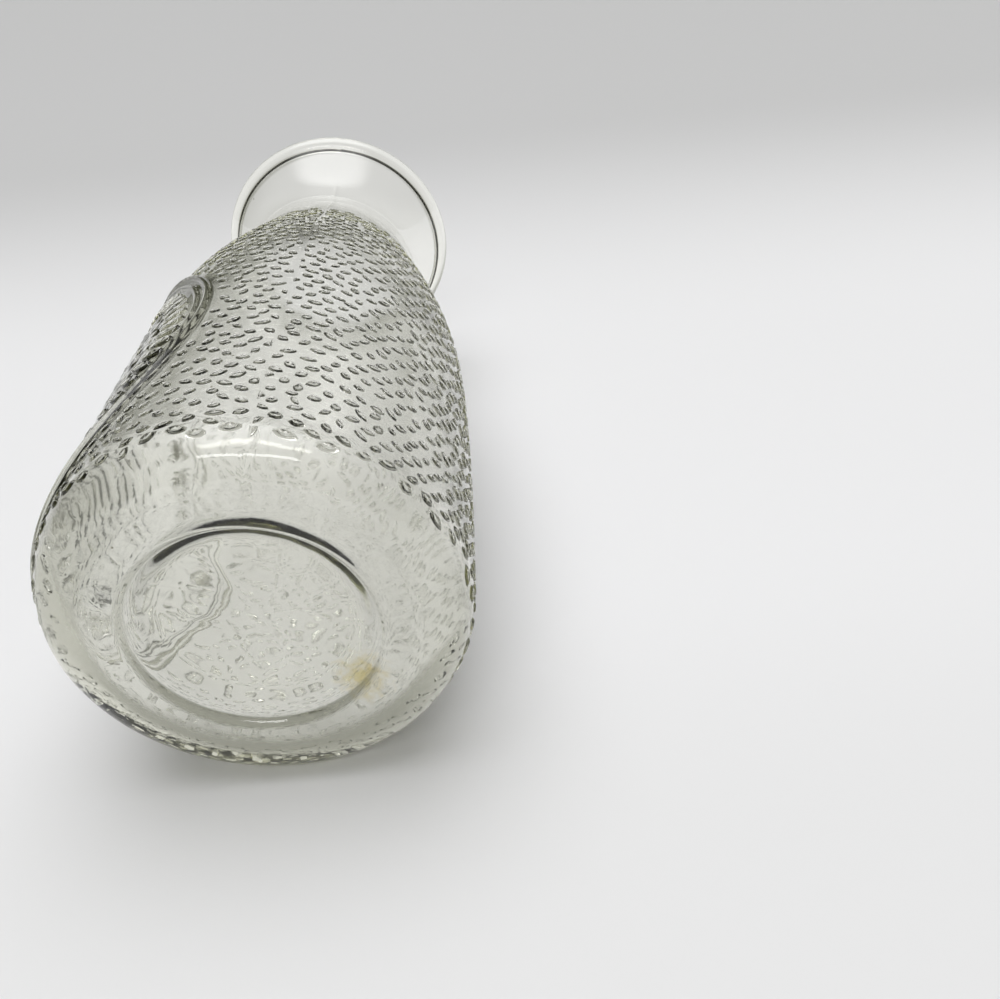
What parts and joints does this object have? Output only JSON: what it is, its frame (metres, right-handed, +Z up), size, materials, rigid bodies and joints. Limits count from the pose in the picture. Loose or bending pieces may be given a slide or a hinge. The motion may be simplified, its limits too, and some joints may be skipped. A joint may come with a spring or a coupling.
{
  "type": "glass milk bottle",
  "caption": "Clear glass milk bottle with a wide flared mouth, pebbled body, smooth rounded heel, pressed-up base and a plain raised round medallion on the front.",
  "frame": {"origin": "on the bottle's axis, in the plane that it rests on, at the centre of the standing ring; only the 1 mm relief of the medallion makes the box 0.5 mm deeper at the front than at the back", "axes": "+Z up the bottle's axis to the mouth; -Y towards the front, where the medallion is; the two mould seams are at +X and -X"},
  "size_m": [0.095, 0.096, 0.218],
  "materials": {
    "clear_glass": "clear moulded glass with a faint olive-grey tint, fire-polished, pebbled on the body and smooth on the heel, neck and lip"
  },
  "bodies": {
    "root": {"base_panel": "clear_glass", "heel": "clear_glass", "body_wall": "clear_glass", "shoulder": "clear_glass", "neck": "clear_glass", "mouth_flare": "clear_glass", "lip_bead": "clear_glass", "body_pebbles": "clear_glass", "shoulder_pebbles": "clear_glass", "medallion_outer_ridge": "clear_glass", "medallion_inner_ridge": "clear_glass", "medallion_reeds": "clear_glass"}
  },
  "joints": []
}
